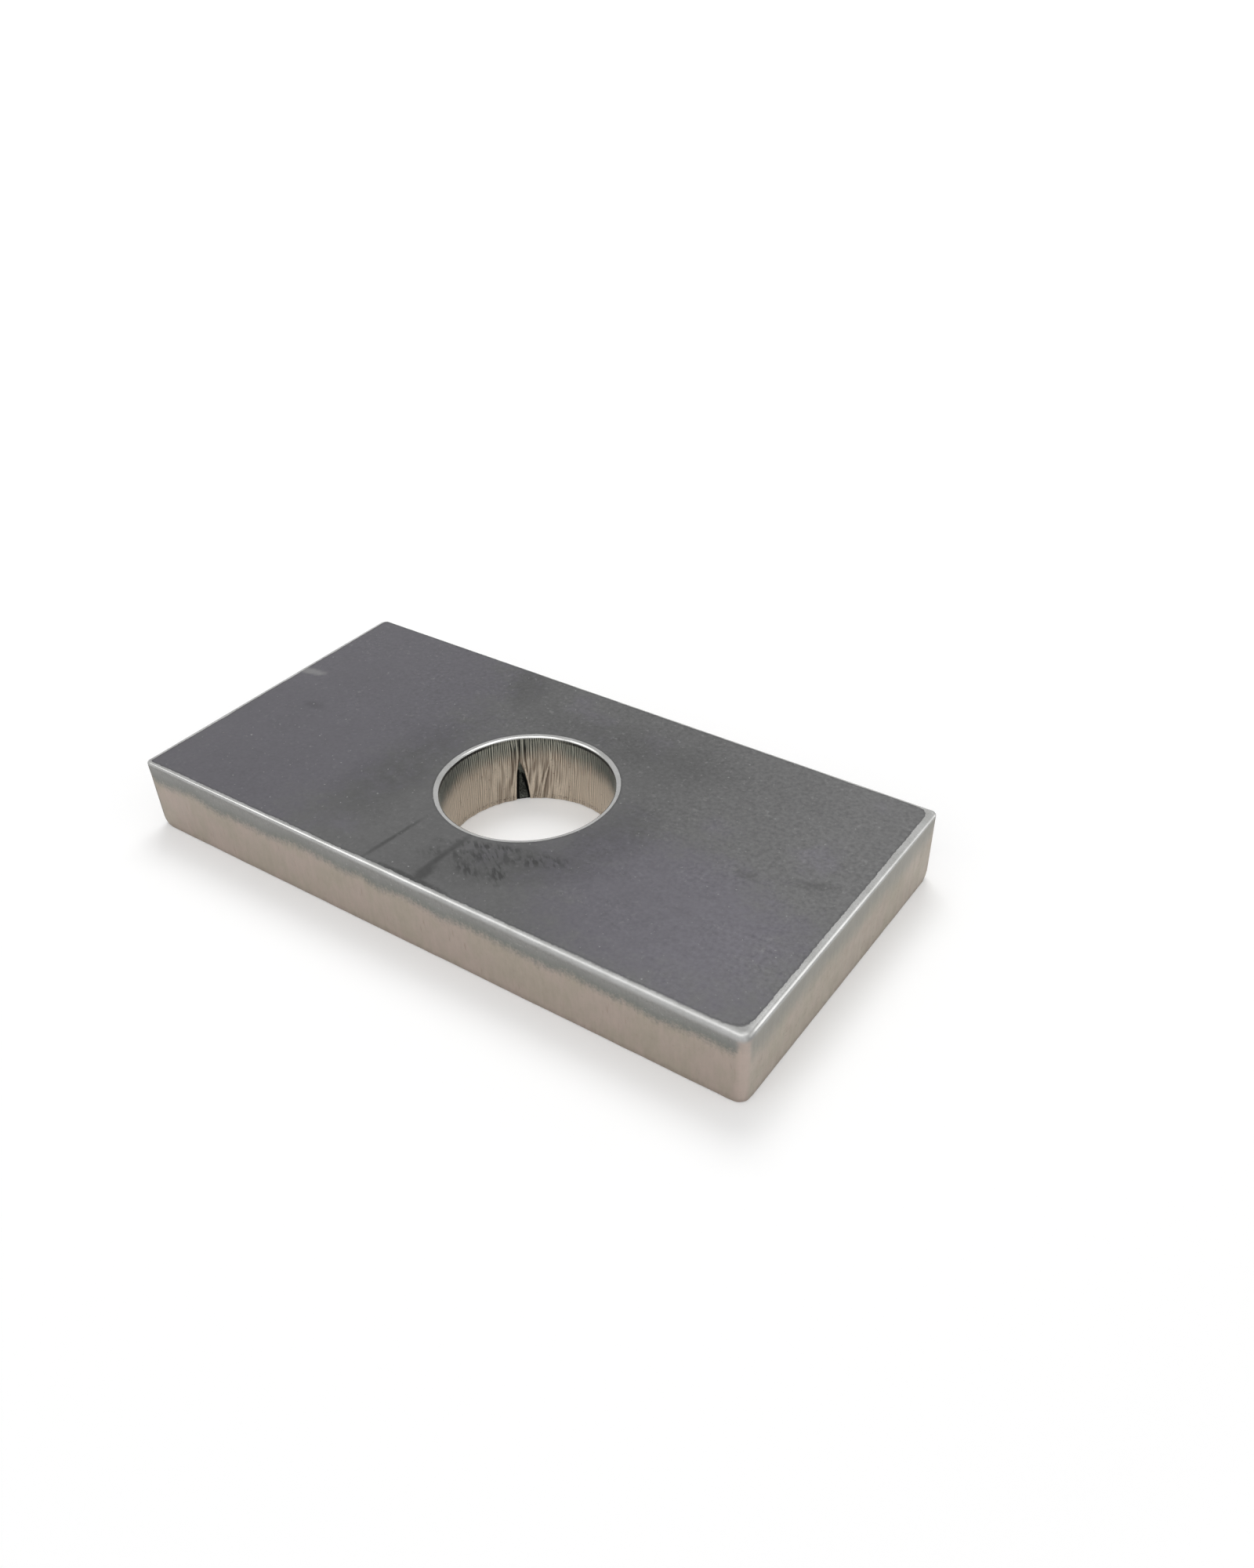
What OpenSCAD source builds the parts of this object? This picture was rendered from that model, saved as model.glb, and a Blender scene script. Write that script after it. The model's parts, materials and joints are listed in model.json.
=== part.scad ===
// Spacer plate for a leaf spring pack: a thick rectangular steel block, flat on both faces,
// with one large round hole in the middle.
// The block is cut from plate, so its sides are straight and upright. Its edges are dressed to a
// small rounding, and the wall of the hole keeps the scoop that the cut left where it started.
// The underside lies on Z = 0, the hole's axis is Z and the long sides run along X.

/* [Plate] */
// Length of the plate, along X
plate_length = 114.3; // [60:0.1:240]
// Width of the plate, along Y, the width of the spring leaves
plate_width = 57.15; // [44:0.05:120]
// Thickness of the plate, the height that it adds under the spring
plate_thickness = 12.7; // [8:0.1:40]
// Radius of the four upright corners, seen from above
corner_radius = 1.2; // [1:0.1:8]

/* [Hole] */
// Diameter of the hole, which clears the head of the spring's centre bolt
hole_diameter = 28; // [16:0.1:36]

/* [Dressed edges] */
// Rounding of the outer edge round the top face
top_edge_radius = 0.8; // [0.2:0.05:0.95]
// Rounding of the outer edge round the underside
bottom_edge_radius = 0.3; // [0.1:0.05:0.95]
// Rounding of the hole's upper rim
hole_top_radius = 0.7; // [0.2:0.05:1.5]
// Rounding of the hole's lower rim
hole_bottom_radius = 0.4; // [0.1:0.05:1.5]

/* [Scoop in the hole's wall] */
// Direction of the scoop from the hole's axis, in degrees from +X towards +Y
scoop_direction = 132; // [0:1:359]
// Width of the scoop, the diameter of its round floor
scoop_width = 1.8; // [0.8:0.1:4]
// Depth of the scoop in the wall, at the underside
scoop_depth = 1.4; // [0.4:0.1:3]
// Height above the underside where the scoop runs out
scoop_height = 7; // [2:0.1:7.5]

/* [Hidden] */
$fn = 96;

// How far a cutting body reaches past the face that it cuts
overshoot = 1;
hole_radius = hole_diameter / 2;
// Centres of the upright corners, as distances from the hole's axis
corner_x = plate_length / 2 - corner_radius;
corner_y = plate_width / 2 - corner_radius;
// Lean of the scoop away from the hole's axis as it goes down
scoop_lean = atan(scoop_depth / scoop_height);

// The plate seen from above
module plate_outline() {
    square([2 * corner_x, plate_width], center = true);
    square([plate_length, 2 * corner_y], center = true);
    for (x = [-corner_x, corner_x], y = [-corner_y, corner_y])
        translate([x, y])
            circle(r = corner_radius);
}

// What is ground off a square edge that lies at [0, 0], with the metal to the left and below
module edge_waste(radius) {
    difference() {
        translate([-radius, -radius])
            square(radius + overshoot);
        translate([-radius, -radius])
            circle(r = radius);
    }
}

// The waste along all four outer edges of a face at Z = 0, with the metal below it
module outer_edge_waste(radius) {
    for (side = [0, 1]) {
        mirror([0, side, 0])
            translate([-corner_x, plate_width / 2, 0])
                rotate([90, 0, 90])
                    linear_extrude(2 * corner_x)
                        edge_waste(radius);
        mirror([side, 0, 0])
            translate([plate_length / 2, corner_y, 0])
                rotate([90, 0, 0])
                    linear_extrude(2 * corner_y)
                        edge_waste(radius);
    }
    for (x = [0, 1], y = [0, 1])
        mirror([x, 0, 0])
            mirror([0, y, 0])
                translate([corner_x, corner_y, 0])
                    rotate_extrude(angle = 90)
                        translate([corner_radius, 0])
                            edge_waste(radius);
}

// The waste round the hole's rim in a face at Z = 0, with the metal below it
module hole_rim_waste(radius) {
    rotate_extrude()
        translate([hole_radius, 0])
            mirror([1, 0])
                edge_waste(radius);
}

// Everything that is taken off one face's edges, outside and round the hole
module face_waste(outer_radius, rim_radius) {
    outer_edge_waste(outer_radius);
    hole_rim_waste(rim_radius);
}

// The hole right through the plate
module hole() {
    translate([0, 0, -overshoot])
        cylinder(r = hole_radius, h = plate_thickness + 2 * overshoot);
}

// A round-floored groove in the hole's wall, deepest at the underside and gone at scoop_height
module scoop() {
    rotate([0, 0, scoop_direction])
        translate([hole_radius + scoop_depth, 0, 0])
            rotate([0, -scoop_lean, 0])
                translate([-scoop_width / 2, 0, -overshoot])
                    cylinder(d = scoop_width, h = plate_thickness);
}

module spacer_plate() {
    color([0.43, 0.43, 0.44])
        difference() {
            linear_extrude(plate_thickness)
                plate_outline();
            hole();
            scoop();
            translate([0, 0, plate_thickness])
                face_waste(top_edge_radius, hole_top_radius);
            mirror([0, 0, 1])
                face_waste(bottom_edge_radius, hole_bottom_radius);
        }
}

spacer_plate();
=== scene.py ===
"""The looks of a leaf spring's spacer plate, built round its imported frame.

The plate is a thick rectangle of hot-rolled steel, cut out with a jet of flame or light and
dressed by hand. Its two faces keep their dark mill scale, its upper edges are ground bright, its
sides show the cut, and so does the wall of the round hole in its middle. Sizes are millimetres,
angles are degrees and meshes are made in metres.
"""
import functools
import json
import logging
import math
from collections.abc import Callable, Sequence
from dataclasses import dataclass
from enum import Enum

import bmesh
import bpy
from mathutils import Matrix, Vector, noise


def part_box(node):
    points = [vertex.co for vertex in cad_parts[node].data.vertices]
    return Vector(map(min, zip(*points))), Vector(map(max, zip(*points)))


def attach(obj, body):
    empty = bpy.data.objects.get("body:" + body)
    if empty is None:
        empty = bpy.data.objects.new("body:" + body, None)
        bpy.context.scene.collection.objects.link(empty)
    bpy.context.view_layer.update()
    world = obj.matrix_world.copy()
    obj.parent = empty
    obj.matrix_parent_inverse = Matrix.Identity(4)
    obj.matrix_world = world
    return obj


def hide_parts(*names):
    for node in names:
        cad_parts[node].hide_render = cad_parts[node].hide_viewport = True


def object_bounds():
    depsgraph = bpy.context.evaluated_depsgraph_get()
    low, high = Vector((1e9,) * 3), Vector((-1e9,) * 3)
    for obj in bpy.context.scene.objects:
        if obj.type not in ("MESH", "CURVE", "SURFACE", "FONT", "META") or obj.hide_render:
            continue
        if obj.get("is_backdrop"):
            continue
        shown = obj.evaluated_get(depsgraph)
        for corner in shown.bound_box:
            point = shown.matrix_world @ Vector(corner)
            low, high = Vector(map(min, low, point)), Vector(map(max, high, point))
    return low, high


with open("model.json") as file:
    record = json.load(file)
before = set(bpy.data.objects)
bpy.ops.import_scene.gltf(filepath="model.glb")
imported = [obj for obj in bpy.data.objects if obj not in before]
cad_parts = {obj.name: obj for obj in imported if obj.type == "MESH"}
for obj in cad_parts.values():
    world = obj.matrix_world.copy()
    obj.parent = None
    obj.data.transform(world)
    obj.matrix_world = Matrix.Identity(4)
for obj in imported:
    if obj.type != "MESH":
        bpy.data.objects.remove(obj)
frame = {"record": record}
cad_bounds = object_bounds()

log = logging.getLogger("spacer")

MM = 0.001
NODE = "spacer_plate"
BODY = "root"
Rgb = tuple[float, float, float]
Path = tuple[tuple[float, float], ...]


def smoothstep(low: float, high: float, value: float) -> float:
    """Return 0 below low, 1 above high and a smooth ramp between them."""
    share = min(max((value - low) / (high - low), 0.0), 1.0)
    return share * share * (3.0 - 2.0 * share)


def bell(offset: float, half: float) -> float:
    """Return 1 at no offset and less away from it, with a half width."""
    return math.exp(-((offset / half) ** 2))


def heading(degrees: float) -> Vector:
    """Return the level direction of length 1 at an angle from +X towards +Y."""
    return Vector((math.cos(math.radians(degrees)), math.sin(math.radians(degrees))))


def add_object(name: str, data: bpy.types.ID) -> bpy.types.Object:
    """Make an object in the scene.

    Args:
        name: Its name.
        data: Its mesh, lamp or camera.

    Returns:
        The object.
    """
    made = bpy.data.objects.new(name, data)
    bpy.context.scene.collection.objects.link(made)
    return made


@dataclass(frozen=True)
class Value:
    """One output of a shader node, on which arithmetic adds Math nodes."""

    graph: "Graph"
    socket: bpy.types.NodeSocket

    def __add__(self, other: "Number") -> "Value":
        """Add a value or a number."""
        return self.graph.math("ADD", self, other)

    __radd__ = __add__

    def __sub__(self, other: "Number") -> "Value":
        """Take a value or a number away."""
        return self.graph.math("SUBTRACT", self, other)

    def __rsub__(self, other: "Number") -> "Value":
        """Take this value away from a number."""
        return self.graph.math("SUBTRACT", other, self)

    def __mul__(self, other: "Number") -> "Value":
        """Multiply by a value or a number."""
        return self.graph.math("MULTIPLY", self, other)

    __rmul__ = __mul__

    def __truediv__(self, other: "Number") -> "Value":
        """Divide by a value or a number."""
        return self.graph.math("DIVIDE", self, other)

    def __rtruediv__(self, other: "Number") -> "Value":
        """Divide a number by this value."""
        return self.graph.math("DIVIDE", other, self)

    def size(self) -> "Value":
        """Return the value without its sign."""
        return self.graph.math("ABSOLUTE", self)

    def least(self, other: "Number") -> "Value":
        """Return the smaller of this and another value."""
        return self.graph.math("MINIMUM", self, other)

    def most(self, other: "Number") -> "Value":
        """Return the larger of this and another value."""
        return self.graph.math("MAXIMUM", self, other)

    def ramp(self, low: "Number", high: "Number") -> "Value":
        """Return a smooth step from 0 at low to 1 at high."""
        settings = {"interpolation_type": "SMOOTHSTEP", "clamp": True}
        return self.graph.node("ShaderNodeMapRange", settings, {0: self, 1: low, 2: high})


Number = Value | float


def blend(start: Number, end: Number, share: Number) -> Number:
    """Return the number or shader value that lies a share of the way from start to end."""
    return start + share * (end - start)


def turned(x: Value, y: Value, degrees: float) -> tuple[Value, Value]:
    """Return how far a point lies along a direction and how far across it."""
    cosine, sine = heading(degrees)
    return x * cosine + y * sine, y * cosine - x * sine


class Graph:
    """A material's or world's shader nodes, made one after another."""

    def __init__(self, owner: bpy.types.Material | bpy.types.World) -> None:
        """Empty the owner's node tree and keep it.

        Args:
            owner: The material or world whose nodes are made.
        """
        owner.use_nodes = True
        self.tree = owner.node_tree
        self.tree.nodes.clear()

    def make(self, kind: str, settings: dict, inputs: dict) -> bpy.types.Node:
        """Add one node.

        Args:
            kind: The node's type, as bpy names it.
            settings: The node's own settings, which are set first.
            inputs: For each socket's name or number, a plain value or another node's output.

        Returns:
            The node.
        """
        node = self.tree.nodes.new(kind)
        for name, setting in settings.items():
            setattr(node, name, setting)
        for key, value in inputs.items():
            socket = node.inputs[key]
            if isinstance(value, Value):
                self.tree.links.new(value.socket, socket)
            elif isinstance(value, tuple) and socket.type == "RGBA":
                socket.default_value = (*value, 1.0)
            else:
                socket.default_value = value
        return node

    def node(self, kind: str, settings: dict, inputs: dict, output: int | str = 0) -> Value:
        """Add one node and return one of its outputs.

        Args:
            kind: The node's type, as bpy names it.
            settings: The node's own settings.
            inputs: What its sockets get.
            output: The name or number of the output that is wanted.

        Returns:
            The output.
        """
        return Value(self, self.make(kind, settings, inputs).outputs[output])

    def math(self, operation: str, *values: Number) -> Value:
        """Add a Math node for an operation on values or numbers."""
        return self.node("ShaderNodeMath", {"operation": operation}, dict(enumerate(values)))

    def vector(self, operation: str, inputs: dict) -> Value:
        """Add a Vector Math node for an operation on its numbered inputs."""
        return self.node("ShaderNodeVectorMath", {"operation": operation}, inputs)

    def mix(self, share: Number, first: Value | Rgb, second: Value | Rgb) -> Value:
        """Mix two colours, with the second at a share of 1."""
        inputs = {0: share, 6: first, 7: second}
        return self.node("ShaderNodeMix", {"data_type": "RGBA"}, inputs, 2)

    def layers(self, colour: Value, *layers: tuple[Number, Value | Rgb]) -> Value:
        """Lay colours over a colour, one after another.

        Args:
            colour: The lowest colour.
            layers: Each upper colour, after its share.

        Returns:
            The colour that shows.
        """
        for share, upper in layers:
            colour = self.mix(share, colour, upper)
        return colour

    def tint(self, colour: Value | Rgb, shade: Number) -> Value:
        """Multiply a colour or a place by one value."""
        return self.vector("SCALE", {0: colour, 3: shade})

    def place(self) -> Value:
        """Return the point's place on the object, in millimetres."""
        return self.tint(self.node("ShaderNodeTexCoord", {}, {}, "Object"), 1.0 / MM)

    def parts(self, vector: Value) -> tuple[Value, Value, Value]:
        """Split a vector into its three parts."""
        outputs = self.make("ShaderNodeSeparateXYZ", {}, {0: vector}).outputs
        return Value(self, outputs[0]), Value(self, outputs[1]), Value(self, outputs[2])

    def distance(self, x: Value, y: Value) -> Value:
        """Return the length of a level line from its two parts."""
        return self.math("SQRT", x * x + y * y)

    def grain(
        self, where: Value, size: float, detail: float, rough: float, upright: float = 1.0
    ) -> Value:
        """Return soft noise from 0 to 1.

        Args:
            where: The place in millimetres.
            size: The size of the noise's features in millimetres.
            detail: How many finer layers it has.
            rough: How strong the finer layers are.
            upright: How much the height counts, where less draws the features out upright.

        Returns:
            The noise.
        """
        if upright != 1.0:
            where = self.vector("MULTIPLY", {0: where, 1: (1.0, 1.0, upright)})
        inputs = {"Vector": where, "Scale": 1.0 / size, "Detail": detail, "Roughness": rough}
        return self.node("ShaderNodeTexNoise", {}, inputs)


@dataclass(frozen=True)
class Coat:
    """How one layer of the surface looks at each point."""

    colour: Value | Rgb
    roughness: Number
    metallic: Number
    height: Number

    def under(self, upper: "Coat", share: Value) -> "Coat":
        """Return the coat that shows where a share, from 0 to 1, of an upper coat covers this."""
        colours, *plain = zip(vars(self).values(), vars(upper).values())
        return Coat(share.graph.mix(share, *colours), *(blend(*pair, share) for pair in plain))


@dataclass(frozen=True)
class CornerValues:
    """A value at each upright corner of the plate, which runs evenly from one to the next."""

    near_left: float
    near_right: float
    back_right: float
    back_left: float

    def shade(self, across: Value, along: Value) -> Value:
        """Return the value at a point, from its shares of the length and of the width."""
        near = blend(self.near_left, self.near_right, across)
        return blend(near, blend(self.back_left, self.back_right, across), along)


@dataclass(frozen=True)
class Dressing:
    """How one straight edge of the top is dressed, at the start and end of its side."""

    radius: tuple[float, float]
    band: tuple[float, float]


@dataclass(frozen=True)
class Plate:
    """The plate's sizes, which the frame's box gives, and the forms of its edges."""

    length: float
    width: float
    thickness: float
    hole_radius: float
    corner_radius: CornerValues = CornerValues(1.1, 1.35, 0.8, 1.3)
    near: Dressing = Dressing((0.28, 0.6), (0.58, 1.02))
    right: Dressing = Dressing((0.6, 0.5), (0.97, 1.12))
    back: Dressing = Dressing((0.2, 0.15), (0.55, 0.3))
    left: Dressing = Dressing((0.25, 0.45), (0.68, 0.98))
    facet_drop: float = 0.06
    bevel: float = 0.15
    bottom_radius: float = 0.3
    vertex_cut: CornerValues = CornerValues(0.85, 0.45, 0.85, 0.85)
    vertex_height: float = 2.1
    rim_radius: float = 0.22
    rim_facet: float = 0.24
    rim_drop: float = 0.03
    rim_bevel: float = 0.22
    rim_bottom_radius: float = 0.4


@dataclass(frozen=True)
class Station:
    """One place on the plate's outline, with the form of the edges there."""

    place: Vector
    facing: Vector
    radius: float
    band: float
    pull: Vector


@dataclass(frozen=True)
class Corner:
    """One upright corner, with the dressing of the side before it and of the side after it."""

    side_x: int
    side_y: int
    radius: float
    cut: float
    before: Dressing
    after: Dressing


Run = tuple[float, Callable[[float], Station]]


@dataclass(frozen=True)
class Outline:
    """The plate's outline from above, walked counterclockwise from its near right corner."""

    plate: Plate
    core: float = 0.1
    least_facet: float = 0.06

    def corners(self) -> list[Corner]:
        """Return the upright corners.

        Returns:
            The corners, counterclockwise from the back right one.
        """
        plate = self.plate
        radii, cuts = plate.corner_radius, plate.vertex_cut
        return [
            Corner(1, 1, radii.back_right, cuts.back_right, plate.right, plate.back),
            Corner(-1, 1, radii.back_left, cuts.back_left, plate.back, plate.left),
            Corner(-1, -1, radii.near_left, cuts.near_left, plate.left, plate.near),
            Corner(1, -1, radii.near_right, cuts.near_right, plate.near, plate.right),
        ]

    def runs(self) -> list[Run]:
        """Return each straight and each corner in turn.

        Returns:
            Each one's length and what stands at a share of it.
        """
        corners, runs = self.corners(), []
        for index, corner in enumerate(corners):
            facing = 90.0 * index
            start, end = self.end(corners[index - 1], facing), self.end(corner, facing)
            runs.append(self.straight(start, end, facing, corner.before))
            runs.append(self.turn(corner, facing))
        return runs

    def end(self, corner: Corner, degrees: float) -> Vector:
        """Return the point of a corner's quarter circle that faces a direction.

        Args:
            corner: The corner.
            degrees: The direction.

        Returns:
            The point, seen from above.
        """
        half = Vector((self.plate.length / 2, self.plate.width / 2))
        inset = Vector((half.x - corner.radius, half.y - corner.radius))
        centre = Vector((corner.side_x * inset.x, corner.side_y * inset.y))
        return centre + heading(degrees) * corner.radius

    @staticmethod
    def straight(start: Vector, end: Vector, degrees: float, dressing: Dressing) -> Run:
        """Return a straight run.

        Args:
            start: Where it starts.
            end: Where it ends.
            degrees: The direction that its side faces.
            dressing: How its upper edge is dressed.

        Returns:
            Its length and what stands at a share of it.
        """
        facing = heading(degrees)

        def walk(share: float) -> Station:
            """Return what stands at a share of the run."""
            radius, band = blend(*dressing.radius, share), blend(*dressing.band, share)
            return Station(start.lerp(end, share), facing, radius, band, Vector((0.0, 0.0)))

        return (end - start).length, walk

    def turn(self, corner: Corner, first: float) -> Run:
        """Return a corner's quarter circle.

        Args:
            corner: The corner.
            first: The direction in degrees that its start faces.

        Returns:
            Its length and what stands at a share of it.
        """
        centre = self.end(corner, first) - heading(first) * corner.radius
        pull = Vector((-corner.side_x, -corner.side_y)).normalized() * corner.cut
        reach = corner.radius - self.core

        def walk(share: float) -> Station:
            """Return what stands at a share of the quarter.

            Args:
                share: The share, from 0 to 1.

            Returns:
                The station.
            """
            facing = heading(first + 90.0 * share)
            radius = blend(corner.before.radius[1], corner.after.radius[0], share)
            band = blend(corner.before.band[1], corner.after.band[0], share)
            radius, band = min(radius, reach - self.least_facet), min(band, reach)
            return Station(centre + facing * corner.radius, facing, radius, band, pull)

        return math.radians(90.0) * corner.radius, walk

    def stations(self, count: int) -> list[Station]:
        """Return evenly spaced stations along the whole outline.

        Args:
            count: How many stations there are.

        Returns:
            The stations.
        """
        runs = self.runs()
        total = sum(length for length, _ in runs)
        found, passed, index = [], 0.0, 0
        for step in range(count):
            distance = total * step / count
            while distance > passed + runs[index][0] and index < len(runs) - 1:
                passed += runs[index][0]
                index += 1
            length, walk = runs[index]
            found.append(walk((distance - passed) / length))
        return found


def follow(path: Path, height: float) -> float:
    """Return the value that a path has at a height.

    Args:
        path: Heights with their values, from the top down.
        height: The height that is asked about.

    Returns:
        The value, which runs evenly between the path's points.
    """
    for (upper, first), (lower, last) in zip(path, path[1:]):
        if height >= lower:
            return blend(last, first, min((height - lower) / (upper - lower), 1.0))
    return path[-1][1]


def upright_marks(where: Vector, pitch: float, upright: float) -> float:
    """Return from 0 to 1 how deep the cut's upright marks are at a place.

    Args:
        where: The place in millimetres.
        pitch: The marks' rough spacing.
        upright: How many times longer than wide the marks are.

    Returns:
        The share of their full depth.
    """
    spot = Vector((where.x / pitch, where.y / pitch, where.z / (pitch * upright)))
    broad = noise.noise(spot)
    fine = noise.noise(spot * 2.3 + Vector((7.0, 3.0, 1.0)))
    return min(max(0.5 + 1.1 * broad + 0.45 * fine, 0.0), 1.0)


@dataclass(frozen=True)
class SideCut:
    """The relief that the cut leaves in the four outer sides."""

    pitch: float = 0.9
    depth: float = 0.035
    upright: float = 16.0
    wave: float = 9.0

    def form(self, where: Vector) -> float:
        """Return the depth of the marks at a place on the outer sides."""
        wave = 0.5 + 0.5 * noise.noise(where / self.wave)
        return self.depth * (upright_marks(where, self.pitch, self.upright) + wave)


@dataclass(frozen=True)
class Trace:
    """A narrow groove down the hole's wall, or a lip where its depth is below 0."""

    path: Path
    half: float
    depth: float
    fade: float = 0.5

    def share(self, across: float, z: float) -> float:
        """Return how much of the trace's depth a place on the wall has.

        Args:
            across: How far round from the scoop the place lies.
            z: Its height over the underside.

        Returns:
            The share, from 0 to 1.
        """
        top, end = self.path[0][0], self.path[-1][0]
        share = bell(across - follow(self.path, z), self.half)
        share *= smoothstep(end - self.fade, end + self.fade, z)
        return share * smoothstep(top + self.fade, top - self.fade, z)


@dataclass(frozen=True)
class HoleCut:
    """The relief in the hole's wall, with the scoop where its cut started.

    Places on the wall are a height over the underside and how far round from the scoop they
    lie, clockwise from above.
    """

    radius: float
    thickness: float
    marks: int = 250
    depth: float = 0.07
    wrinkle: float = 0.55
    lag: float = 0.5
    start_lag: float = 1.1
    start: float = 132.0
    start_middle: float = 0.5
    start_half: float = 6.0
    start_end: float = 7.0
    scoop_depth: float = 1.35
    scoop_top: float = 8.0
    scoop_left: Path = ((7.8, -0.75), (5.9, -1.2), (4.0, -1.44), (0.0, -1.78))
    scoop_right: Path = ((7.8, -0.66), (6.4, -0.34), (5.3, -0.02), (4.0, 0.18), (0.0, 0.55))
    scoop_fold: Path = ((5.4, -0.6), (3.8, -0.24), (2.4, 0.05), (0.2, 0.4))
    scoop_edge: float = 0.07
    scoop_step: float = 0.2
    # Where the black line of painted shadow lies along the scoop's left side.
    shadow_inset: float = 0.26
    shadow_half: float = 0.32
    shadow_heights: tuple[float, float] = (6.0, 4.8)
    fold_half: float = 0.22
    fold_heights: tuple[float, float] = (5.2, 4.2)
    foot: float = 1.3
    foot_share: float = 0.16
    traces: tuple[Trace, ...] = (
        Trace(((12.6, -0.43), (10.2, -0.54), (8.8, -0.61), (7.2, -0.85)), 0.15, 0.36),
        Trace(((12.6, 0.4), (8.2, 0.3), (6.5, 0.42), (5.2, 0.42)), 0.12, 0.26),
        Trace(((10.8, -1.34), (7.0, -1.4)), 0.08, 0.2),
        Trace(((10.6, -1.86), (7.1, -1.94), (5.4, -2.08), (3.4, -2.36)), 0.08, 0.16),
        Trace(((12.6, 0.02), (8.2, -0.08), (6.6, 0.1), (4.8, 0.36), (0.6, 0.72)), 0.09, -0.09),
        Trace(((12.1, -0.97), (8.8, -0.95), (5.3, -1.5), (0.6, -2.05)), 0.12, -0.08),
        Trace(((7.6, 4.3), (5.5, 3.98), (4.2, 3.59), (1.5, 2.97)), 0.09, 0.28),
        Trace(((5.6, 3.22), (4.2, 2.86), (3.4, 2.7)), 0.09, 0.22),
        Trace(((10.9, 4.45), (9.2, 4.6), (8.2, 4.55), (5.0, 3.5), (2.0, 2.7)), 0.1, -0.08),
    )

    def across(self, angle: float) -> float:
        """Return how far clockwise from the scoop a direction in radians lies on the wall."""
        turn = (math.radians(self.start) - angle + math.pi) % math.tau - math.pi
        return turn * self.radius

    def form(self, angle: float, z: float) -> tuple[float, float, float]:
        """Return the wall's relief at a place.

        Args:
            angle: The direction from the hole's axis in radians.
            z: The height over the underside.

        Returns:
            The depth, how dark a valley it is, and its share of painted shadow and soot, both from 0
            to 1.
        """
        across = self.across(angle)
        near_start = bell(across - self.start_middle, self.start_half)
        down = 1.0 - z / self.thickness
        lag = (self.lag + self.start_lag * near_start) * down * down
        turned = angle - lag / self.radius
        where = Vector((math.cos(turned), math.sin(turned), 0.0)) * self.radius
        where.z = z
        valley = self.stripes(turned, where, near_start)
        depth = self.depth * (1.0 + 0.7 * near_start) * valley
        if abs(across) > self.start_end:
            return depth, valley, 0.0
        for trace in self.traces:
            share = trace.share(across, z)
            depth += trace.depth * share
            valley = blend(valley, 1.0 if trace.depth > 0.0 else 0.0, share)
        hollow, soot = self.scoop(across, z)
        return max(depth, hollow), valley, soot

    def stripes(self, angle: float, where: Vector, near_start: float) -> float:
        """Return from 0 to 1 how deep a valley of the upright marks is.

        Args:
            angle: The direction in radians, drawn along with the cut's lag.
            where: The same place in millimetres.
            near_start: How near to the scoop it lies, from 0 to 1.

        Returns:
            The share, which is lower and less even towards the underside.
        """
        wander = Vector((where.x / 1.6, where.y / 1.6, where.z / 9.0))
        shake = Vector((where.x / 0.6, where.y / 0.6, where.z / 3.5))
        phase = self.marks * angle + 5.5 * noise.noise(wander) + 2.2 * noise.noise(shake)
        even = 0.5 + 0.5 * math.cos(phase) * (0.75 + 0.5 * noise.noise(shake * 1.7))
        patch = noise.noise(Vector((where.x / 0.8, where.y / 0.8, where.z / 1.6)))
        upper = smoothstep(6.2, 9.4, where.z + 1.6 * patch)
        wrinkles = upright_marks(where, self.wrinkle, 9.0)
        lower = blend(0.12 + 0.55 * even, blend(even, wrinkles, 0.75) * 0.95, near_start)
        return min(max(blend(lower, even, upper), 0.0), 1.0)

    def scoop(self, across: float, z: float) -> tuple[float, float]:
        """Return the form of the scoop at a place on the wall.

        Args:
            across: How far round from the scoop the place lies.
            z: Its height over the underside.

        Returns:
            The scoop's depth, and its share of painted shadow and soot, from 0 to 1.
        """
        left, right, edge = follow(self.scoop_left, z), follow(self.scoop_right, z), self.scoop_edge
        inside = smoothstep(left - edge, left + edge, across)
        inside *= 1.0 - smoothstep(right - edge, right + edge, across)
        inside *= smoothstep(self.scoop_top, self.scoop_top - 0.5, z)
        depth = self.scoop_depth * smoothstep(self.scoop_top, self.scoop_top - 3.0, z)
        depth *= blend(self.foot_share, 1.0, smoothstep(0.0, self.foot, z))
        # Painted shadow: a black line along the scoop's left side, and another along its fold.
        black = bell(across - left - self.shadow_inset, self.shadow_half)
        black *= smoothstep(*self.shadow_heights, z)
        fold = bell(across - follow(self.scoop_fold, z), self.fold_half)
        fold *= smoothstep(*self.fold_heights, z)
        return inside * (depth + self.scoop_step), inside * (0.5 + 0.5 * max(black, fold))


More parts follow.
